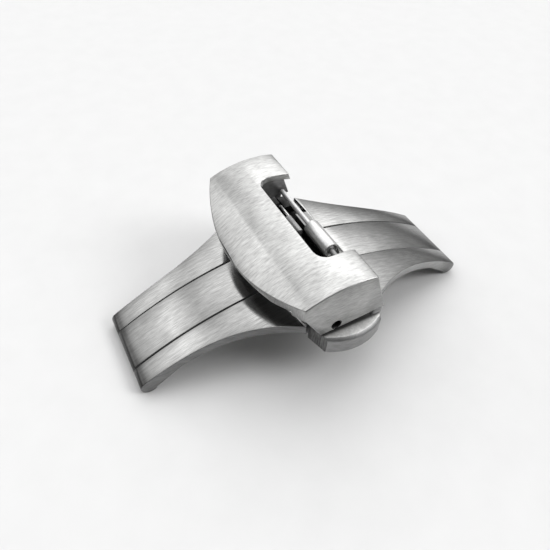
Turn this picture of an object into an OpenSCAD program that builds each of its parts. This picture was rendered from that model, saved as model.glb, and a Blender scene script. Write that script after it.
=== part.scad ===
// Deployant clasp for a wrist strap, closed, standing on the two ends of its arch.
// Millimetres. The origin lies on the table under the middle of the arch.
// +X runs toward the open end of the cover, +Y across the strap, +Z up.

/* [Arch] */
// Radius of the outer face of the closed arch
arch_radius = 43.96; // [40:0.02:50]
// Height of the crown of the arch above the table
arch_crown = 8.12; // [6:0.02:12]
// Thickness of the sprung plates
plate = 1.2; // [1:0.05:2]
// Distance of each end hinge from the middle
hinge_x = 22.1; // [20:0.05:25]
// Radius of the rounded ends, and height of the hinge axis
end_radius = 1; // [0.9:0.05:1.5]
// Half width of the arch at its ends
end_half_width = 5.6; // [5:0.05:7]
// Straight part of the flare, per mm from the end
flare_straight = 0.02; // [0:0.005:0.12]
// Curved part of the flare, per cubed mm from the end
flare_curved = 0.00067; // [0.0003:0.00001:0.0008]
// Where the thick end pad meets the thin plate
pad_start = 17.5; // [16:0.5:18]
// Height of that corner above the table
pad_start_z = 3.3; // [3:0.1:4]
// Where the thick end pad reaches the table
pad_foot = 22; // [21:0.25:22]

/* [Spine] */
// Half width of the spine where it comes out from under the cover
spine_half_inner = 3.0; // [2.5:0.05:3.5]
// Half width of the spine at the arch ends
spine_half_outer = 2.85; // [2:0.05:3]
// Seam on the near side of the spine in the left plate
left_near_seam = 0.2; // [0.05:0.01:0.4]
// Seam on the far side in the left plate, at its inner end
left_far_seam = 0.28; // [0.05:0.01:0.4]
// Seam on the near side in the right plate
right_near_seam = 0.08; // [0.05:0.01:0.4]
// Seam on the far side in the right plate, at its inner end
right_far_seam = 0.26; // [0.05:0.01:0.4]
// Width that the seams on the far side narrow to at the arch ends
seam_end = 0.06; // [0.05:0.01:0.3]
// Distance from the middle at which the spine steps down
spine_step = 5.3; // [5:0.1:7]

/* [Wings] */
// Where the flared corners of the left plate stop, beside the housings
left_corner = 5.35; // [5.1:0.05:6]
// How far their tips reach past that toward the middle
left_lean = 0.5; // [0:0.05:0.6]
// Where the flared corners of the right plate stop
right_corner = 5.1; // [5:0.05:6]
// How far their tips reach past that toward the middle
right_lean = 0.15; // [0:0.05:0.6]
// Half width of the plates between the pusher housings
tongue_half = 6.85; // [5:0.05:6.9]
// Inner end of the left plate
left_tip = 2.6; // [1:0.1:2.8]
// Inner end of the right plate
right_tip = 3.3; // [3:0.1:4.5]
// Half width of the recess in the left plate under the strap bar tube
recess_half = 3.7; // [2:0.05:4]
// Outer radius of the knuckles that carry the cover
knuckle = 1.15; // [1:0.05:1.4]

/* [Hinge pins] */
// Radius of the end hinge pins
pin_radius = 0.5; // [0.4:0.05:0.7]
// Half length of the end hinge pins
pin_half = 4.8; // [4:0.1:5]
// Radial clearance of a running fit
running = 0.03; // [0.01:0.01:0.08]

/* [Cover] */
// Middle of the cover on its underside
cover_x = -1.96; // [-3:0.02:0]
// Height of that point above the table
cover_z = 8.26; // [8:0.02:9]
// How far the cover stands tilted at rest, in degrees
cover_tilt = 5.49; // [0:0.01:8]
// Half width of the cover
cover_half = 12; // [10:0.5:13]
// Half width of the strap channel inside it
channel_half = 10.4; // [8:0.1:11]
// Radius of the domed top
dome_radius = 13.2; // [12:0.1:20]
// Thickness of the roof
roof = 0.9; // [0.7:0.05:1.2]
// Radius of the curved edge seen from above
rim_radius = 24.64; // [20:0.1:40]
// Half width of the notch in the roof
notch_half = 7.43; // [6:0.05:9]
// Inner edge of the notch
notch_x = 0.21; // [-1:0.05:1]
// Corner radius of the notch
notch_corner = 1.4; // [0.8:0.1:2]

/* [Cover bar] */
// Position of the cover bar along the cover
bar_x = -0.23; // [-1:0.01:1]
// Height of the cover bar in the cover
bar_z = 0.7; // [0.6:0.05:1.2]
// Outer radius of the bar sleeve
sleeve_radius = 0.75; // [0.6:0.05:0.9]
// Radius of the bar tips
tip_radius = 0.5; // [0.4:0.05:0.6]
// Radius of the holes for the tips
tip_hole = 0.55; // [0.5:0.05:0.7]
// How far the tips stop short of the outer faces
tip_sunk = 0.7; // [0.3:0.1:1]

/* [Tang] */
// Half width of the tang
tang_half = 0.8; // [0.6:0.05:1]
// Length of the tang from its axis
tang_length = 5.4; // [4:0.1:6]
// Thickness of the tang
tang_thick = 0.7; // [0.5:0.05:0.9]
// Droop of the tang at rest, in degrees
tang_droop = 10.9; // [5:0.1:15]

/* [Strap bar] */
// Radius of the two free ends of the strap bar
strap_bar_radius = 0.34; // [0.3:0.02:0.4]
// Radius of its thicker middle, inside the tube
strap_bar_middle = 0.52; // [0.5:0.01:0.6]
// Half length of the strap bar
strap_bar_half = 10.2; // [8:0.1:10.2]
// Outer radius of the tube that holds it
tube_radius = 1.0; // [0.8:0.05:1.2]
// Half length of that tube
tube_half = 2.45; // [2:0.1:3]
// Radius of the wide mouth at each end of the tube
mouth_radius = 0.8; // [0.6:0.01:0.85]
// Depth of the wide mouth
mouth_depth = 0.6; // [0.3:0.1:1]
// Strap bar axis along the clasp
strap_bar_x = 2.96; // [2.5:0.02:4]
// Strap bar axis above the table
strap_bar_z = 9.54; // [9:0.02:10]

/* [Pushers] */
// Outermost point of a pusher
pusher_reach = 13.65; // [13:0.05:14.5]
// Radius of its curved front
pusher_curve = 7.1; // [6:0.1:9]
// Half width of a pusher at its inner face
pusher_half = 4.4; // [4:0.05:4.8]
// How much each side leans in, per mm outward
pusher_lean = 0.28; // [0:0.01:0.4]
// Underside of a pusher
pusher_bottom = 5.4; // [5:0.05:6]
// Top of a pusher
pusher_top = 7.75; // [7:0.05:8]
// Inner face of a pusher slab
pusher_face = 10.0; // [9.8:0.05:10.5]
// Bevel along the top of the curved face
pusher_bevel = 0.35; // [0.1:0.05:0.6]
// Travel of a pusher
travel = 0.45; // [0.3:0.05:0.5]

/* [Housing] */
// Half length of the middle floor along the clasp
floor_half = 4.4; // [3.5:0.1:4.5]
// How far that floor reaches toward +X, under the right plate
floor_right = 5.9; // [4.4:0.1:6]
// How far the pusher housings reach toward +X
housing_right = 2.65; // [2.5:0.05:4.4]
// Inner face of the pusher housings
housing_in = 7.05; // [6.9:0.05:7.5]
// Outer face of the pusher housings
housing_out = 9.5; // [9:0.05:9.6]
// Underside of the middle floor
floor_bottom = 5.3; // [5:0.05:5.6]
// Top of the middle floor
floor_top = 6.15; // [6:0.05:6.2]
// Top of the housings
housing_top = 7.8; // [7.5:0.05:7.9]
// Distance of the spring pockets from the middle of the housings
pocket_x = 2.7; // [2.5:0.1:3]
// Middle of the slots for the side arms of the pushers
side_slot_x = 1.8; // [1.8:0.05:2]
// Half width of those slots
side_slot_half = 0.4; // [0.35:0.05:0.45]
// Radius of the pins that keep the pushers in
keeper = 0.3; // [0.25:0.05:0.4]
// Distance of those pins from the middle
keeper_y = 8.2; // [8:0.05:8.5]

/* [Hidden] */
$fn = 96;
arch_z = arch_crown - arch_radius;
// where the rounded end takes over from the arch, as an angle from upright
end_turn = asin(hinge_x / (arch_radius - end_radius));
// plans run on past the rounded ends to here
plan_end = hinge_x + 1.5;
// play between the stepped spine and the plates around it
step_gap = 0.11;
// where the narrow plate between the housings runs into the flared one
tongue_join = 5.5;
// outer end and height of the lowered corner of a pusher, under the cover
ledge_end = 11.8;
ledge_z = 6.4;
// height of the spring pockets above the table
pocket_z = 6.85;
// inner end of the side arms, which stay clear of the left plate when pressed in
arm_tip = 7.4;
wide = 30;
flare_steps = 30;
bar_tilt = -cover_tilt;
// the cover bar's axis in the frame of the whole clasp
axis_x = cover_x + bar_x * cos(cover_tilt) - bar_z * sin(cover_tilt);
axis_z = cover_z + bar_x * sin(cover_tilt) + bar_z * cos(cover_tilt);
rim_centre = 17.35;
dome_x = 0.67;
dome_z = -6.68;
steel = [0.78, 0.78, 0.8];
dark_steel = [0.6, 0.6, 0.63];

function half_width(x) = let (u = hinge_x + 1.25 - abs(x))
    end_half_width + flare_straight * u + flare_curved * u * u * u;

// a cylinder lying across the clasp
module across(r, length) {
    rotate([90, 0, 0]) cylinder(h = length, r = r, center = true);
}

// a cylinder across the clasp from y0 to y1
module across_from(r, y0, y1) {
    translate([0, (y0 + y1) / 2, 0]) across(r, abs(y1 - y0));
}

// a side view outline pulled out across the clasp
module side_view(points, half) {
    rotate([90, 0, 0]) linear_extrude(height = 2 * half, center = true)
        polygon(points);
}

// the whole closed arch at full width, solid in plan
module arch() {
    difference() {
        intersection() {
            translate([0, 0, arch_z]) across(arch_radius, wide);
            side_view([
                [-hinge_x, 0], [hinge_x, 0], [hinge_x, end_radius],
                [hinge_x + 4 * sin(end_turn), end_radius + 4 * cos(end_turn)],
                [0, 14],
                [-hinge_x - 4 * sin(end_turn), end_radius + 4 * cos(end_turn)],
                [-hinge_x, end_radius]
            ], wide / 2);
        }
        difference() {
            translate([0, 0, arch_z]) across(arch_radius - plate, wide + 1);
            end_pad(1);
            end_pad(-1);
        }
    }
    for (s = [-1, 1])
        translate([s * hinge_x, 0, end_radius]) across(end_radius, wide);
}

// the space over the sloping underside of one thick end
module end_pad(s) {
    side_view([
        [s * pad_foot, 0], [s * pad_start, pad_start_z], [s * pad_start, 9],
        [s * 25, 9], [s * 25, 0]
    ], wide / 2 + 1);
}

// plan of one wing, from its flared corner out past the end
module wing_plan(s) {
    corner_x = s < 0 ? left_corner : right_corner;
    tip_x = corner_x - (s < 0 ? left_lean : right_lean);
    outer = [for (i = [0 : flare_steps])
        let (x = tip_x + (plan_end - tip_x) * i / flare_steps)
        [s * x, half_width(x)]];
    inner = [for (i = [flare_steps : -1 : 0]) [outer[i][0], -outer[i][1]]];
    side = [[s * corner_x, -tongue_half], [s * corner_x, tongue_half]];
    translate([0, 0, -2]) linear_extrude(height = 14)
        polygon(concat(outer, inner, side));
}

// plan of the spine, widened by the seams beside it
module spine_plan(s, start, near, far_in, far_out) {
    a = spine_half_inner;
    b = spine_half_outer;
    translate([0, 0, -3]) linear_extrude(height = 16) polygon([
        [s * start, a + far_in], [s * plan_end, b + far_out],
        [s * plan_end, -b - near], [s * start, -a - near]
    ]);
}

module wing_blank(s, tip) {
    intersection() {
        arch();
        union() {
            wing_plan(s);
            translate([min(s * tongue_join, tip), -tongue_half, 4])
                cube([abs(s * tongue_join - tip), 2 * tongue_half, 6]);
        }
    }
}

module wing_cuts(s) {
    near = s < 0 ? left_near_seam : right_near_seam;
    far = s < 0 ? left_far_seam : right_far_seam;
    spine_plan(s, spine_step - step_gap, near, far, seam_end);
    translate([s * hinge_x, 0, end_radius])
        across(pin_radius + running, 2 * (pin_half + 0.05));
}

module base_frame() {
    color(steel) difference() {
        union() {
            for (s = [-1, 1]) intersection() {
                arch();
                spine_plan(s, spine_step, 0, 0, 0);
            }
            for (s = [-1, 1])
                translate([min(s * spine_step, s * 8.5), -2.9, floor_bottom])
                    cube([3.2, 5.8, 1.6]);
            translate([-5.4, -2.9, floor_bottom])
                cube([10.8, 5.8, floor_top - floor_bottom]);
            translate([-floor_half, -housing_out, floor_bottom])
                cube([floor_half + floor_right, 2 * housing_out, floor_top - floor_bottom]);
            for (s = [-1, 1]) housing(s);
        }
        for (s = [-1, 1]) {
            translate([s * hinge_x, 0, end_radius]) across(pin_radius + running, 10);
            housing_cuts(s);
        }
    }
}

module housing(s) {
    depth = housing_out - housing_in;
    translate([-floor_half, min(s * housing_in, s * housing_out), floor_bottom])
        cube([floor_half + housing_right, depth, housing_top - floor_bottom]);
}

module housing_cuts(s) {
    low = min(s * (housing_in - 0.1), s * (housing_out + 0.1));
    depth = housing_out - housing_in + 0.2;
    translate([side_slot_x - side_slot_half, low, floor_top - 0.1])
        cube([2 * side_slot_half, depth, 3]);
    translate([-1, low, floor_top]) cube([2, depth, 1.1]);
    translate([-pocket_x, 0, pocket_z])
        across_from(0.75, s * (housing_in + 0.55), s * (housing_out + 1));
    translate([0, s * keeper_y, floor_bottom - 1]) cylinder(h = 4, r = keeper + 0.02);
}

module left_wing() {
    color(steel) difference() {
        union() {
            wing_blank(-1, left_tip);
            for (s = [-1, 1]) cover_knuckle(s);
        }
        wing_cuts(-1);
        translate([axis_x, 0, axis_z]) across(sleeve_radius + running, 2 * 8);
        translate([axis_x - 1.35, -tang_half - 0.25, 4])
            cube([2.7, 2 * tang_half + 0.5, 6]);
        translate([-0.4, -recess_half, 4]) cube([5, 2 * recess_half, 6]);
    }
}

module cover_knuckle(s) {
    translate([axis_x, s * 4.8, axis_z]) across(knuckle, 2.8);
    translate([axis_x - knuckle, s * 4.8 - 1.4, 7.4])
        cube([2 * knuckle, 2.8, axis_z - 7.4]);
}

module right_wing() {
    color(steel) difference() {
        union() {
            wing_blank(1, right_tip);
            translate([strap_bar_x, 0, strap_bar_z]) across(tube_radius, 2 * tube_half);
            side_view([
                [strap_bar_x, strap_bar_z], [3.84, 10.02], [5.11, 8.3],
                [5.11, 7.2], [3.5, 7.2], [3.5, 8.75]
            ], tube_half);
        }
        wing_cuts(1);
        translate([strap_bar_x, 0, strap_bar_z]) {
            across(strap_bar_middle + 0.02, 2 * tube_half + 1);
            for (s = [-1, 1])
                across_from(mouth_radius, s * (tube_half - mouth_depth), s * (tube_half + 1));
        }
    }
}

module left_hinge_pin() {
    color(dark_steel) translate([-hinge_x, 0, end_radius]) across(pin_radius, 2 * pin_half);
}

module right_hinge_pin() {
    color(dark_steel) translate([hinge_x, 0, end_radius]) across(pin_radius, 2 * pin_half);
}

// stands a piece drawn level into the resting tilt of the cover
module tilted() {
    translate([cover_x, 0, cover_z]) rotate([0, bar_tilt, 0]) children();
}

module cover() {
    color(steel) tilted() difference() {
        intersection() {
            translate([dome_x, 0, dome_z]) across(dome_radius, 2 * cover_half);
            side_view([
                [-7.6, 3.67], [-4.12, 3.67], [-2.23, 0], [6.2, 0],
                [4.2, 7.4], [-7.6, 7.4]
            ], cover_half);
            translate([rim_centre, 0, -1]) cylinder(h = 9, r = rim_radius, $fn = 192);
        }
        translate([dome_x, 0, dome_z])
            across(dome_radius - roof, 2 * channel_half);
        notch();
        translate([bar_x, 0, bar_z]) across(tip_hole, 2 * cover_half + 1);
    }
}

// cut through the roof, open toward +X
module notch() {
    translate([notch_x + notch_corner, -notch_half, 3]) cube([8, 2 * notch_half, 5]);
    translate([notch_x, notch_corner - notch_half, 3])
        cube([3, 2 * (notch_half - notch_corner), 5]);
    for (s = [-1, 1])
        translate([notch_x + notch_corner, s * (notch_half - notch_corner), 3])
            cylinder(h = 5, r = notch_corner);
}

module cover_bar_sleeve() {
    color(dark_steel) translate([axis_x, 0, axis_z]) difference() {
        across(sleeve_radius, 2 * 10.2);
        across(tip_radius + running, 2 * 10.2 + 1);
    }
}

module bar_tip(s) {
    color(dark_steel) translate([axis_x, 0, axis_z])
        across_from(tip_radius, s * 8.4, s * (cover_half - tip_sunk));
}

module cover_bar_near_tip() {
    bar_tip(-1);
}

module cover_bar_far_tip() {
    bar_tip(1);
}

// drawn as a plain core at its pressed length, out of sight in the sleeve
module cover_bar_spring() {
    color(dark_steel) translate([axis_x, 0, axis_z]) across(0.45, 2 * 7.3);
}

module tang() {
    color(steel) translate([axis_x, 0, axis_z]) difference() {
        union() {
            across(1.05, 2 * tang_half);
            rotate([0, -tang_droop, 0]) {
                translate([-tang_length + tang_thick / 2, -tang_half, -tang_thick / 2])
                    cube([tang_length - tang_thick / 2, 2 * tang_half, tang_thick]);
                translate([-tang_length + tang_thick / 2, 0, 0])
                    across(tang_thick / 2, 2 * tang_half);
            }
        }
        across(sleeve_radius + running, 2 * tang_half + 1);
    }
}

module strap_bar() {
    color(dark_steel) translate([strap_bar_x, 0, strap_bar_z]) {
        across(strap_bar_radius, 2 * strap_bar_half);
        across(strap_bar_middle, 2 * tube_half + 0.1);
    }
}

// s is -1 for the near pusher and 1 for the far one
module pusher(s) {
    height = pusher_top - pusher_bottom;
    centre = pusher_reach - pusher_curve;
    tip_half = pusher_half - pusher_lean * (15 - pusher_face);
    color(steel) difference() {
        union() {
            intersection() {
                translate([0, s * centre, pusher_bottom]) union() {
                    cylinder(h = height - pusher_bevel, r = pusher_curve, $fn = 192);
                    translate([0, 0, height - pusher_bevel])
                        cylinder(h = pusher_bevel, r1 = pusher_curve,
                            r2 = pusher_curve - pusher_bevel, $fn = 192);
                }
                translate([0, 0, 5]) linear_extrude(height = 4) polygon([
                    [-pusher_half, s * pusher_face], [pusher_half, s * pusher_face],
                    [tip_half, s * 15], [-tip_half, s * 15]
                ]);
            }
            arm(s, side_slot_x - side_slot_half + 0.1, 2 * side_slot_half - 0.2, arm_tip,
                6.2, 1.3);
            arm(s, -0.95, 1.9, 7.55, floor_top + 0.05, 1.0);
        }
        keeper_slot(s);
        // a step under the side wall of the cover, beside the end of the housing
        translate([housing_right, min(s * 9, s * ledge_end), ledge_z])
            cube([3, ledge_end - 9, 3]);
    }
}

// a square arm of a pusher, reaching in to the distance tip
module arm(s, x, width, tip, z, height) {
    translate([x, min(s * tip, s * (pusher_face + 0.3)), z])
        cube([width, pusher_face + 0.3 - tip, height]);
}

module keeper_slot(s) {
    for (y = [keeper_y, keeper_y + travel])
        translate([0, s * y, 5]) cylinder(h = 4, r = keeper + 0.08, $fn = 48);
    translate([-keeper - 0.08, min(s * keeper_y, s * (keeper_y + travel)), 5])
        cube([2 * keeper + 0.16, travel, 4]);
}

module near_pusher() {
    pusher(-1);
}

module far_pusher() {
    pusher(1);
}

// a coil out of sight in its pocket, drawn as a plain sleeve at its pressed length
module pusher_spring(s) {
    color(dark_steel) translate([-pocket_x, 0, pocket_z]) difference() {
        across_from(0.7, s * (housing_in + 0.57), s * (housing_out - 0.03));
        across_from(0.42, s * housing_in, s * (housing_out + 1));
    }
}

module near_pusher_spring() {
    pusher_spring(-1);
}

module far_pusher_spring() {
    pusher_spring(1);
}

module keeper_pin(s) {
    color(dark_steel) translate([0, s * keeper_y, floor_bottom])
        cylinder(h = housing_top - floor_bottom, r = keeper);
}

module near_pusher_pin() {
    keeper_pin(-1);
}

module far_pusher_pin() {
    keeper_pin(1);
}

base_frame();
left_wing();
right_wing();
left_hinge_pin();
right_hinge_pin();
cover();
cover_bar_sleeve();
cover_bar_near_tip();
cover_bar_far_tip();
cover_bar_spring();
tang();
strap_bar();
near_pusher();
far_pusher();
near_pusher_spring();
far_pusher_spring();
near_pusher_pin();
far_pusher_pin();
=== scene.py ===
import math

import bpy
from mathutils import Matrix, Vector


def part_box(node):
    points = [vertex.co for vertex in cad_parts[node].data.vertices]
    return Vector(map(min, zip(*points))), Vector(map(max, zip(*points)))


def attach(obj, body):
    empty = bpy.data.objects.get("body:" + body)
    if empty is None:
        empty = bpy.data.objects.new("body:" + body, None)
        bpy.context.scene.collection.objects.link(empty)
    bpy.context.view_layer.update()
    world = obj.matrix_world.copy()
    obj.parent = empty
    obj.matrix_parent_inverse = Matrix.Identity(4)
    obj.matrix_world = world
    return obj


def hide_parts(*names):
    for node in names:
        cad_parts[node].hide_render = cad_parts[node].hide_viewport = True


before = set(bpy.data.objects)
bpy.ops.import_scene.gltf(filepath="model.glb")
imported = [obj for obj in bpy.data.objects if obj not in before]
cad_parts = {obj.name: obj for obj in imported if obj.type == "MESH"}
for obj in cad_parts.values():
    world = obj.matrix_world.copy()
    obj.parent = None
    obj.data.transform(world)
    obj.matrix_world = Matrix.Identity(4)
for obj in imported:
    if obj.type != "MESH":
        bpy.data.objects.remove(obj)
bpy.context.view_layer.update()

MM = 0.001

# Camera, solved from the arch, the cover and the pushers in the photograph
CAMERA_AZIMUTH = math.radians(31.42)
CAMERA_ELEVATION = math.radians(47.0)
CAMERA_ROLL = math.radians(4.62)
CAMERA_TARGET = Vector((-0.54, 4.46, 0)) * MM
CAMERA_DISTANCE = 74.97 * MM
CAMERA_LENS_MM = 35.03

# Where the imported parts are, for the choice of faces that get another finish or painted shade
SLACK = 0.05 * MM
COVER_TILT = math.radians(5.49)
COVER_AT = Vector((-1.96, 0, 8.26)) * MM
CHANNEL_HALF = 10.4 * MM
DOME_AT = Vector((0.67, 0, -6.68)) * MM
DOME_RADIUS = 13.2 * MM
ROOF = 0.9 * MM
BAR_AT = Vector((-2.256, 0, 8.935)) * MM
BAR_HOLE_RADIUS = 0.55 * MM
BAR_HOLE_RIM = 0.13 * MM
STRAP_BAR_AT = Vector((2.96, 0, 9.54)) * MM
TUBE_RADIUS = 1.0 * MM
NEAR_ROD_Y = -1 * MM
LEDGE_Y = 11.9 * MM
LEDGE_Z = 6.4 * MM
SUNK_FLOOR_HALF = 6 * MM
SUNK_FLOOR_Z = 6.15 * MM
TONGUE_X = (-3 * MM, 4.3 * MM)
TONGUE_Z = 8.2 * MM

# The block on each button, and the pockets of the buttons' springs
SHOULDER_X = (2.9 * MM, 4.7 * MM)
SHOULDER_Y = (9.0 * MM, 11.3 * MM)
SHOULDER_Z = (6.3 * MM, 7.6 * MM)
POCKET_AT = Vector((-2.7, 0, 6.85)) * MM

# How sharp a corner has to be, in degrees, to be rounded off or shaded as an edge
ROUNDED_DEGREES = 38
SHARP_DEGREES = 35
# Sides of a spring's wire, and steps in one turn of it
WIRE_SIDES = 10
TURN_STEPS = 24

# The curves of the metal's brightness reach just beyond both ends of the arch
HALF_SPAN = 24 * MM
# Values of the stroke pattern that count as the darkest and as the lightest stroke
STROKE_DARK = 0.32
STROKE_LIGHT = 0.68
# Size of the faint patches that lie over the strokes
PATCHES = (3 * MM, 7 * MM, 7 * MM)

FLOOR_SIZE = 3
PAPER_FIBRES = 4 * MM
# Colour of the paper for camera rays, and how white the room behind it looks. The light is
# about one and a half times a plain level, so this paper looks nearly white
PAPER_WHITE = 0.64
BACKDROP_WHITE = 0.95
# Colour of the paper for all other rays, near the clasp and beyond: a painted pool of light
# round the clasp, which the metal mirrors
POOL_WHITE = (0.74, 0.12)
POOL_REACH = (21 * MM, 58 * MM)

# Light of the room on an arc over the clasp, from left to right: degrees from upright, light
ROOM_ARC = ((-90, 0.64), (-76, 1.04), (-64, 2.24), (-50, 2.32), (-36, 2.72), (-24, 1.48),
            (-8, 2.12), (5, 2.8), (26, 2.88), (35, 3.68), (42, 3.12), (54, 2.24), (63, 1.4),
            (70, 0.88), (80, 0.53), (90, 0.48))
# Share of that light from front to back, by the Y part of the direction
ROOM_DEPTH = ((-0.15, 0.05), (0.3, 1.0), (0.72, 1.0), (1.0, 0.2))
# Azimuth from +Y toward +X, elevation, brightness and half width, with angles in degrees
WINDOWS = ((125, 38, 8.8, 20), (180, 78, 0.64, 30))


def place_camera():
    data = bpy.data.cameras.new("camera")
    camera = bpy.data.objects.new("camera", data)
    bpy.context.scene.collection.objects.link(camera)
    az, el, roll = CAMERA_AZIMUTH, CAMERA_ELEVATION, CAMERA_ROLL
    look = Vector((math.sin(az) * math.cos(el), math.cos(az) * math.cos(el), -math.sin(el)))
    level = Vector((math.cos(az), -math.sin(az), 0))
    upright = level.cross(look)
    right = level * math.cos(roll) + upright * math.sin(roll)
    up = upright * math.cos(roll) - level * math.sin(roll)
    turn = Matrix((right, up, -look)).transposed()
    place = CAMERA_TARGET - look * CAMERA_DISTANCE
    camera.matrix_world = Matrix.Translation(place) @ turn.to_4x4()
    data.lens = CAMERA_LENS_MM
    data.sensor_width = 36
    data.clip_start = 1 * MM
    data.clip_end = 10
    bpy.context.scene.camera = camera


place_camera()
bpy.context.scene.view_settings.view_transform = "Standard"


def linear(hex_colour):
    """An sRGB hex colour as linear RGBA."""
    channels = [int(hex_colour[i:i + 2], 16) / 255 for i in (0, 2, 4)]
    return [c / 12.92 if c <= 0.04045 else ((c + 0.055) / 1.055) ** 2.4 for c in channels] + [1]


def add(tree, kind, inputs=None, **settings):
    """Adds a node. An input is a value or another node's output socket."""
    made = tree.nodes.new(kind)
    for name, value in settings.items():
        setattr(made, name, value)
    for name, value in (inputs or {}).items():
        if isinstance(value, bpy.types.NodeSocket):
            tree.links.new(value, made.inputs[name])
        else:
            made.inputs[name].default_value = value
    return made


def graph(tree, coordinate, low, high, points):
    """A curve through the points, which are pairs of coordinate and value from low to high."""
    along = add(tree, "ShaderNodeMapRange", {
        "Value": coordinate, "From Min": low, "From Max": high})
    ramp = add(tree, "ShaderNodeValToRGB", {"Fac": along.outputs["Result"]})
    stops = ramp.color_ramp.elements
    stops.remove(stops[1])
    for i, (at, value) in enumerate(points):
        position = (at - low) / (high - low)
        stop = stops[0] if i == 0 else stops.new(position)
        stop.position = position
        stop.color = (value, value, value, 1)
    return ramp.outputs["Color"]


def new_material(name):
    material = bpy.data.materials.new(name)
    material.use_nodes = True
    material.node_tree.nodes.clear()
    return material, material.node_tree


def pattern(tree, place, scale, detail, dimensions="2D"):
    """Soft noise on the place, with that many patches to a unit along each axis."""
    spread = add(tree, "ShaderNodeMapping", {"Vector": place, "Scale": scale})
    return add(tree, "ShaderNodeTexNoise", {
        "Vector": spread.outputs["Vector"], "Scale": 1, "Detail": detail},
        noise_dimensions=dimensions)


def brushed_steel(name, dark, light, roughness, stroke_mm, width_mm, clouds=0.1,
                  anisotropy=0.9, along_x=((-24, 1), (24, 1)), off_middle=((0, 1), (24, 1))):
    """Stainless steel, rubbed in one direction with an abrasive belt. Fine parallel strokes
    show as streaks, and pull its reflections wide across the strokes but not along them. At
    anisotropy 0 it is blasted, turned or milled, and the strokes are only a faint grain.
    along_x and off_middle paint light and shade into the colour: the metal's brightness at
    places in mm, by X and by distance in Y from the middle."""
    material, tree = new_material(name)
    place = add(tree, "ShaderNodeTexCoord").outputs["Object"]
    grain_place = add(tree, "ShaderNodeUVMap", uv_map="strokes").outputs["UV"]
    fine = pattern(tree, grain_place, (1 / stroke_mm, 1 / width_mm, 1), 2)
    fine.inputs["Roughness"].default_value = 0.6
    coarse = pattern(tree, grain_place, (0.5 / stroke_mm, 0.35 / width_mm, 1), 1)
    patches = pattern(tree, place, [1 / size for size in PATCHES], 1, "3D")
    strokes = add(tree, "ShaderNodeMix", {
        0: 0.35, 2: fine.outputs["Fac"], 3: coarse.outputs["Fac"]}, data_type="FLOAT")
    tone = add(tree, "ShaderNodeMapRange", {
        "Value": strokes.outputs["Result"], "From Min": STROKE_DARK, "From Max": STROKE_LIGHT})
    colour = add(tree, "ShaderNodeMix", {
        0: tone.outputs["Result"], 6: linear(dark), 7: linear(light)}, data_type="RGBA")
    cloud = add(tree, "ShaderNodeMapRange", {
        "Value": patches.outputs["Fac"], "From Min": 0.3, "From Max": 0.7,
        "To Min": 1 - clouds, "To Max": 1 + clouds})
    part = add(tree, "ShaderNodeSeparateXYZ", {"Vector": place})
    distance = add(tree, "ShaderNodeMath", {0: part.outputs["Y"]}, operation="ABSOLUTE")
    by_x, by_y = [[(at * MM, value) for at, value in points] for points in (along_x, off_middle)]
    # Painted light and shade by place: darker ends, the shadow beside the cover, brighter
    # outside
    painted_light = add(tree, "ShaderNodeMath", {
        0: graph(tree, part.outputs["X"], -HALF_SPAN, HALF_SPAN, by_x),
        1: graph(tree, distance.outputs["Value"], -HALF_SPAN, HALF_SPAN, by_y)},
        operation="MULTIPLY")
    shade = add(tree, "ShaderNodeMath", {
        0: cloud.outputs["Result"], 1: painted_light.outputs["Value"]}, operation="MULTIPLY")
    clouded = add(tree, "ShaderNodeVectorMath", {
        0: colour.outputs[2], "Scale": shade.outputs["Value"]}, operation="SCALE")
    rough = add(tree, "ShaderNodeMapRange", {
        "Value": strokes.outputs["Result"], "From Min": STROKE_DARK, "From Max": STROKE_LIGHT,
        "To Min": roughness + 0.03, "To Max": roughness - 0.03})
    grain = add(tree, "ShaderNodeTangent", direction_type="UV_MAP", uv_map="brushing")
    steel = add(tree, "ShaderNodeBsdfPrincipled", {
        "Base Color": clouded.outputs["Vector"], "Roughness": rough.outputs["Result"],
        "Tangent": grain.outputs["Tangent"],
        "Metallic": 1.0, "Anisotropic": anisotropy, "Anisotropic Rotation": 0.25})
    end = add(tree, "ShaderNodeOutputMaterial")
    tree.links.new(steel.outputs["BSDF"], end.inputs["Surface"])
    return material


# Long even streaks. Painted shade at the ends: the left end is painted nearly black at its edge
# and darker for
# 6 mm, and the right end darkens to half, as in the photograph, for the dark reflections the
# rounded ends give
PLATE_STEEL = brushed_steel(
    "brushed stainless steel plate", "8C8C8B", "A4A4A3", 0.21, 1.2, 0.11,
    along_x=((-23.1, 0.08), (-22.95, 0.12), (-22.8, 0.32), (-22.65, 0.18), (-22.4, 0.18),
             (-22.1, 0.34), (-21.6, 0.5), (-20.6, 0.66), (-19, 0.8), (-16.5, 1), (18, 1),
             (20, 0.85), (21, 0.62), (22.5, 0.5)))
# Shorter strokes and a broader sheen than the plates have
COVER_STEEL = brushed_steel(
    "brushed stainless steel cover", "929291", "B2B2B1", 0.34, 0.8, 0.1, anisotropy=0.65)
# A satin grey without streaks. A painted shadow of the cover darkens the joint beside it, and a
# painted highlight makes it brighter outside and toward the right end
BUTTON_STEEL = brushed_steel(
    "blasted stainless steel button", "B4B4B3", "C6C6C5", 0.62, 0.3, 0.25, anisotropy=0.0,
    along_x=((1, 1), (3, 1.2), (4.5, 1.7)),
    off_middle=((11.9, 0.12), (12.05, 0.25), (12.25, 1.0), (13.1, 1.35), (13.5, 1.7)))
# Painted shade: darker than the rubbed tops, for the sides of the frame and the left wing, which
# mirror the shaded paper, and for the wings' inner tongues in the shade of the cover and the bar
PLATE_SHADE_STEEL = brushed_steel(
    "stainless steel plate in painted shade", "7E7E7E", "929292", 0.4, 1.2, 0.16)
# An even pale satin
PIN_STEEL = brushed_steel(
    "turned stainless steel pin", "DADADA", "E4E4E4", 0.66, 3, 0.15, 0.04, anisotropy=0.0)
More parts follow.
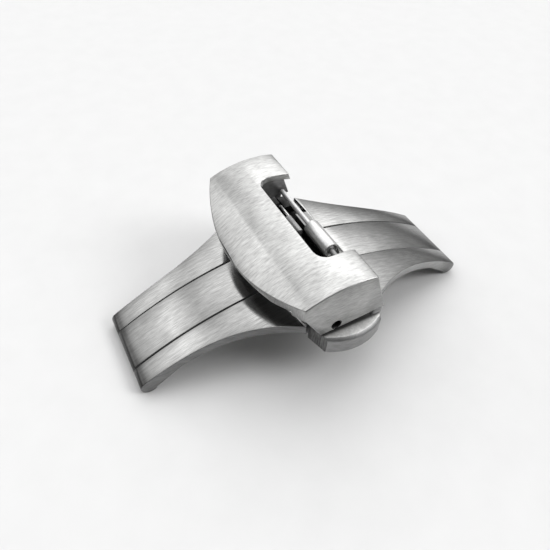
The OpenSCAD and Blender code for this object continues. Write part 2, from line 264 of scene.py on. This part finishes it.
# A little darker and smoother than the pins
TUBE_STEEL = brushed_steel(
    "blasted stainless steel tube", "C2C2C2", "D2D2D1", 0.48, 0.3, 0.25, 0.04, anisotropy=0.0)
# Rough streaks across the flank, and painted shade: dark, for the shaded paper that the flank
# mirrors
SAWN_SHADE_STEEL = brushed_steel(
    "stainless steel flank, sawn, in painted shade", "4C4C4C", "7C7C7B", 0.5, 1.2, 0.16, anisotropy=0.5)
# Smooth, with fine lines along the wire
WIRE_STEEL = brushed_steel(
    "stainless spring wire", "909092", "B4B4B6", 0.28, 2, 0.12, 0.04)
# Painted shade, from nearly black to a dull grey with a milled grain: for insides, holes, gaps
# and faces in deep shade, and for the dark reflections they give
BLACK_SHADE_STEEL = brushed_steel(
    "stainless steel in black painted shade", "2C2C2C", "383838", 0.5, 1, 0.3, anisotropy=0.0)
DARK_SHADE_STEEL = brushed_steel(
    "stainless steel in dark painted shade", "787878", "848484", 0.5, 1, 0.3, anisotropy=0.0)
DIM_SHADE_STEEL = brushed_steel(
    "stainless steel in dim painted shade", "8A8A8A", "9A9A9A", 0.5, 1, 0.3, anisotropy=0.0)


def select_only(piece):
    bpy.ops.object.select_all(action="DESELECT")
    piece.select_set(True)
    bpy.context.view_layer.objects.active = piece


def add_brushing_maps(piece):
    """Two maps in millimetres. The first direction of "brushing" is the stroke direction:
    along X on faces that look sideways, else square to Y, over the crown and round the
    ends. "strokes" places the pattern of strokes on the same faces without breaks."""
    mesh = piece.data
    brushing = mesh.uv_layers.new(name="brushing")
    strokes = mesh.uv_layers.new(name="strokes")
    for face in mesh.polygons:
        n = face.normal
        for loop in face.loop_indices:
            co = mesh.vertices[mesh.loops[loop].vertex_index].co / MM
            if abs(n.y) > 0.7:
                brushing.data[loop].uv = (co.x, co.z)
                strokes.data[loop].uv = (co.x, co.z)
            else:
                brushing.data[loop].uv = (co.x * n.z - co.z * n.x, co.y)
                strokes.data[loop].uv = (co.z if abs(n.x) > 0.85 else co.x, co.y)


def finish_piece(piece, material, smooth_degrees=SHARP_DEGREES):
    piece.data.materials.clear()
    piece.data.materials.append(material)
    select_only(piece)
    bpy.ops.object.shade_smooth_by_angle(angle=math.radians(smooth_degrees))
    add_brushing_maps(piece)


def dressed(node, name, body, material, edge_mm, steps=2):
    """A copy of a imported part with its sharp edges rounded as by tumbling."""
    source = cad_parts[node]
    piece = bpy.data.objects.new(name, source.data.copy())
    bpy.context.scene.collection.objects.link(piece)
    select_only(piece)
    bpy.ops.mesh.customdata_custom_splitnormals_clear()
    bpy.ops.object.mode_set(mode="EDIT")
    bpy.ops.mesh.select_all(action="SELECT")
    bpy.ops.mesh.remove_doubles(threshold=0.001 * MM)
    bpy.ops.mesh.dissolve_limited(angle_limit=math.radians(0.5))
    bpy.ops.object.mode_set(mode="OBJECT")
    bevel = piece.modifiers.new("rounded edges", "BEVEL")
    bevel.width = edge_mm * MM
    bevel.segments = steps
    bevel.limit_method = "ANGLE"
    bevel.angle_limit = math.radians(ROUNDED_DEGREES)
    bevel.use_clamp_overlap = False
    bevel.miter_outer = "MITER_ARC"
    bpy.ops.object.modifier_apply(modifier=bevel.name)
    finish_piece(piece, material)
    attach(piece, body)
    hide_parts(node)
    return piece


def inside_cover(co):
    """True for a point on the underside of the roof or on the inner faces of the side walls."""
    level = Matrix.Rotation(COVER_TILT, 3, "Y") @ (co - COVER_AT)
    from_axis = math.hypot(level.x - DOME_AT.x, level.z - DOME_AT.z)
    return abs(co.y) < CHANNEL_HALF + SLACK and from_axis < DOME_RADIUS - ROOF + SLACK


def on_wall_of_cover(co):
    """True for a point on the inner face of a side wall of the cover."""
    return inside_cover(co) and abs(co.y) > CHANNEL_HALF - SLACK


def in_bar_hole(co):
    """True for a point on the wall or the rim of a hole for the cover bar."""
    from_axis = math.hypot(co.x - BAR_AT.x, co.z - BAR_AT.z)
    return from_axis < BAR_HOLE_RADIUS + BAR_HOLE_RIM


def on_tube(co):
    """True for a point on the tube of the strap bar."""
    return math.hypot(co.x - STRAP_BAR_AT.x, co.z - STRAP_BAR_AT.z) < TUBE_RADIUS + SLACK


def on_near_rod(co):
    """True for a point on the near half of the strap bar, which is painted darker than the rest
    as painted shade.
    """
    return co.y < NEAR_ROD_Y


def on_ledge(co):
    """True for a point on the step that is cut in a button under the cover's side wall."""
    return abs(co.y) < LEDGE_Y and co.z < LEDGE_Z + 2 * SLACK


def on_sunk_floor(co):
    """True for a point on the floor of the frame that is sunk between the buttons."""
    return abs(co.x) < SUNK_FLOOR_HALF and co.z < SUNK_FLOOR_Z + 2 * SLACK


def on_tongue(co):
    """True for a point on a wing's inner tongue, which the cover and the bar shade."""
    return TONGUE_X[0] < co.x < TONGUE_X[1] and co.z < TONGUE_Z


def paint(piece, material, chosen):
    """Gives another material to the faces whose corners all pass the test."""
    piece.data.materials.append(material)
    for face in piece.data.polygons:
        if all(chosen(piece.data.vertices[v].co) for v in face.vertices):
            face.material_index = len(piece.data.materials) - 1


def paint_facing(piece, material, direction, degrees):
    """Gives another material to the faces that look within some degrees of the direction."""
    piece.data.materials.append(material)
    for face in piece.data.polygons:
        if face.normal.angle(direction) < math.radians(degrees):
            face.material_index = len(piece.data.materials) - 1


frame_plate = dressed("base_frame", "frame_strip_and_housings", "frame",
                      PLATE_STEEL, 0.07)
left_fork = dressed("left_wing", "left_wing_fork", "left_wing",
                    PLATE_STEEL, 0.09)
right_fork = dressed("right_wing", "right_wing_fork", "right_wing",
                     PLATE_STEEL, 0.09)
# Painted shade: the sides of the frame and the left wing are darker, as they mirror the shaded
# paper
for piece in (frame_plate, left_fork):
    for outward in (-1, 1):
        paint_facing(piece, PLATE_SHADE_STEEL, Vector((0, outward, 0)), degrees=42)
# Painted shade: the sunk floor between the buttons is painted nearly black
paint(frame_plate, BLACK_SHADE_STEEL, on_sunk_floor)
# Painted shade on the wings' inner tongues, which the cover and the bar shade; the tube gets its
# own finish
paint(left_fork, PLATE_SHADE_STEEL, on_tongue)
paint(right_fork, TUBE_STEEL, on_tube)
paint(right_fork, PLATE_SHADE_STEEL, on_tongue)

domed_cover = dressed("cover", "domed_cover", "cover",
                      COVER_STEEL, 0.12, steps=3)
# Painted shade: the cover's inside, inner walls, bar holes and downward faces are painted dark
paint(domed_cover, DARK_SHADE_STEEL, inside_cover)
paint(domed_cover, DIM_SHADE_STEEL, on_wall_of_cover)
paint(domed_cover, BLACK_SHADE_STEEL, in_bar_hole)
paint_facing(domed_cover, DARK_SHADE_STEEL, Vector((0, 0, -1)), degrees=78)

for side, outward in (("near", -1), ("far", 1)):
    button = dressed(side + "_pusher", side + "_push_button", side + "_pusher",
                     BUTTON_STEEL, 0.08)
    # Painted shade: the ledge is nearly black, the outer face dimmer and the flank dark
    paint(button, BLACK_SHADE_STEEL, on_ledge)
    paint_facing(button, DIM_SHADE_STEEL, Vector((0, outward, 0)), degrees=62)
    paint_facing(button, SAWN_SHADE_STEEL, Vector((-0.95, 0.3 * outward, 0)), degrees=35)

rod = dressed("strap_bar", "strap_bar_rod", "right_wing", PIN_STEEL, 0.06)
# Painted shade: the near half of the rod is darker, in the cover's shade
paint(rod, DIM_SHADE_STEEL, on_near_rod)

dressed("tang", "tang_tongue", "tang", PLATE_STEEL, 0.08)
# Painted shade: the cover bar's tips in their holes are painted nearly black
for node, name, body, material, edge_mm in (
        ("cover_bar_sleeve", "cover_bar_tube", "cover", PIN_STEEL, 0.05),
        ("cover_bar_near_tip", "near_bar_pin", "near_bar_tip", BLACK_SHADE_STEEL, 0.08),
        ("cover_bar_far_tip", "far_bar_pin", "far_bar_tip", BLACK_SHADE_STEEL, 0.08),
        ("left_hinge_pin", "left_end_pin", "frame", PIN_STEEL, 0.06),
        ("right_hinge_pin", "right_end_pin", "frame", PIN_STEEL, 0.06),
        ("near_pusher_pin", "near_keeper_pin", "frame", PIN_STEEL, 0.05),
        ("far_pusher_pin", "far_keeper_pin", "frame", PIN_STEEL, 0.05)):
    dressed(node, name, body, material, edge_mm)


def coil(name, node, body, centre, radius, wire, turns):
    """A round wire spring along Y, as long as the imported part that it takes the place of."""
    low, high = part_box(node)
    bpy.ops.object.select_all(action="DESELECT")
    bpy.ops.mesh.primitive_circle_add(
        vertices=WIRE_SIDES, radius=wire, fill_type="NOTHING", location=(radius, 0, 0),
        rotation=(math.pi / 2, 0, 0))
    piece = bpy.context.active_object
    piece.name = name
    bpy.ops.object.transform_apply(location=True, rotation=True, scale=True)
    screw = piece.modifiers.new("turns", "SCREW")
    screw.angle = 2 * math.pi
    screw.screw_offset = (high.y - low.y - 2 * wire) / turns
    screw.iterations = turns
    screw.steps = TURN_STEPS
    screw.render_steps = TURN_STEPS
    bpy.ops.object.modifier_apply(modifier=screw.name)
    bpy.ops.object.mode_set(mode="EDIT")
    bpy.ops.mesh.select_all(action="SELECT")
    bpy.ops.mesh.remove_doubles(threshold=0.0005 * MM)
    bpy.ops.mesh.select_all(action="DESELECT")
    bpy.ops.mesh.select_non_manifold()
    bpy.ops.mesh.edge_face_add()
    bpy.ops.mesh.select_all(action="SELECT")
    bpy.ops.mesh.normals_make_consistent(inside=False)
    bpy.ops.object.mode_set(mode="OBJECT")
    piece.rotation_euler = (-math.pi / 2, 0, 0)
    piece.location = (centre.x, low.y + wire, centre.z)
    bpy.ops.object.transform_apply(location=True, rotation=True, scale=True)
    finish_piece(piece, WIRE_STEEL, 60)
    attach(piece, body)
    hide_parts(node)


coil("cover_bar_coil", "cover_bar_spring", "cover", BAR_AT, 0.34 * MM, 0.09 * MM, 30)
for side in ("near", "far"):
    coil(side + "_button_coil", side + "_pusher_spring", "frame", POCKET_AT,
         0.57 * MM, 0.12 * MM, 4)


def add_shoulder(side, outward):
    """The block on the inner corner of a button that closes the gap beside the strap bar. It is
    painted nearly black but for its outer face, as painted shade, so the gap reads as deep
    shade.
    It stands on the button's ledge and moves with it."""
    near_y, far_y = sorted((outward * SHOULDER_Y[0], outward * SHOULDER_Y[1]))
    low = Vector((SHOULDER_X[0], near_y, SHOULDER_Z[0]))
    high = Vector((SHOULDER_X[1], far_y, SHOULDER_Z[1]))
    bpy.ops.object.select_all(action="DESELECT")
    bpy.ops.mesh.primitive_cube_add(size=1, location=(low + high) / 2)
    piece = bpy.context.active_object
    piece.name = side + "_button_shoulder"
    piece.scale = high - low
    bpy.ops.object.transform_apply(location=True, rotation=True, scale=True)
    bevel = piece.modifiers.new("rounded edges", "BEVEL")
    bevel.width = 0.08 * MM
    bevel.segments = 2
    bpy.ops.object.modifier_apply(modifier=bevel.name)
    finish_piece(piece, BLACK_SHADE_STEEL)
    paint_facing(piece, DIM_SHADE_STEEL, Vector((0, outward, 0)), degrees=30)
    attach(piece, side + "_pusher")


add_shoulder("near", -1)
add_shoulder("far", 1)


def make_floor():
    """A sheet of white matt paper that keeps the soft shadow. For all but camera rays its colour
    is a painted pool of light round the clasp, which is all the metal mirrors, and the camera
    sees it white to the horizon."""
    bpy.ops.object.select_all(action="DESELECT")
    bpy.ops.mesh.primitive_plane_add(size=FLOOR_SIZE, location=(0, 0, 0))
    floor = bpy.context.active_object
    floor.name = "paper_floor"
    material, tree = new_material("white matt paper")
    place = add(tree, "ShaderNodeTexCoord").outputs["Object"]
    fibres = add(tree, "ShaderNodeTexNoise", {
        "Vector": place, "Scale": 1 / PAPER_FIBRES, "Detail": 3})
    white = add(tree, "ShaderNodeMapRange", {
        "Value": fibres.outputs["Fac"],
        "To Min": PAPER_WHITE - 0.02, "To Max": PAPER_WHITE + 0.02})
    reach = add(tree, "ShaderNodeVectorMath", {0: place}, operation="LENGTH")
    pool = add(tree, "ShaderNodeMapRange", {
        "Value": reach.outputs["Value"], "From Min": POOL_REACH[0], "From Max": POOL_REACH[1],
        "To Min": POOL_WHITE[0], "To Max": POOL_WHITE[1]}, interpolation_type="SMOOTHSTEP")
    seen = add(tree, "ShaderNodeLightPath")
    level = add(tree, "ShaderNodeMix", {
        0: seen.outputs["Is Camera Ray"], 2: pool.outputs["Result"],
        3: white.outputs["Result"]}, data_type="FLOAT")
    paper = add(tree, "ShaderNodeBsdfDiffuse", {"Color": level.outputs["Result"]})
    end = add(tree, "ShaderNodeOutputMaterial")
    tree.links.new(paper.outputs["BSDF"], end.inputs["Surface"])
    floor.data.materials.append(material)


def light_room():
    """Soft light from behind and above, in a band that arches over the clasp. The room in
    front of it is dark but for a window at the right, which lights the bevels and the paper
    there, and a weak one in the ceiling. The camera sees a plain pale backdrop."""
    world = bpy.data.worlds.new("studio")
    bpy.context.scene.world = world
    world.use_nodes = True
    tree = world.node_tree
    tree.nodes.clear()
    direction = add(tree, "ShaderNodeTexCoord").outputs["Generated"]
    part = add(tree, "ShaderNodeSeparateXYZ", {"Vector": direction})
    lean = add(tree, "ShaderNodeMath", {0: part.outputs["X"], 1: part.outputs["Z"]},
               operation="ARCTAN2")
    arc = [(math.radians(angle), light) for angle, light in ROOM_ARC]
    level = add(tree, "ShaderNodeMath", {
        0: graph(tree, lean.outputs["Value"], -math.pi / 2, math.pi / 2, arc),
        1: graph(tree, part.outputs["Y"], -1, 1, ROOM_DEPTH)}, operation="MULTIPLY")
    total = level.outputs["Value"]
    for azimuth, elevation, strength, half in WINDOWS:
        az, el = math.radians(azimuth), math.radians(elevation)
        toward = (math.sin(az) * math.cos(el), math.cos(az) * math.cos(el), math.sin(el))
        facing = add(tree, "ShaderNodeVectorMath", {0: direction, 1: toward},
                     operation="DOT_PRODUCT")
        window = add(tree, "ShaderNodeMapRange", {
            "Value": facing.outputs["Value"], "From Min": math.cos(math.radians(half)),
            "From Max": 1.0, "To Max": strength}, interpolation_type="SMOOTHSTEP")
        total = add(tree, "ShaderNodeMath", {0: total, 1: window.outputs["Result"]},
                    operation="ADD").outputs["Value"]
    seen = add(tree, "ShaderNodeLightPath")
    shown = add(tree, "ShaderNodeMix", {
        0: seen.outputs["Is Camera Ray"], 2: total, 3: BACKDROP_WHITE}, data_type="FLOAT")
    back = add(tree, "ShaderNodeBackground", {
        "Color": (1, 1, 1, 1), "Strength": shown.outputs["Result"]})
    end = add(tree, "ShaderNodeOutputWorld")
    tree.links.new(back.outputs["Background"], end.inputs["Surface"])


make_floor()
light_room()
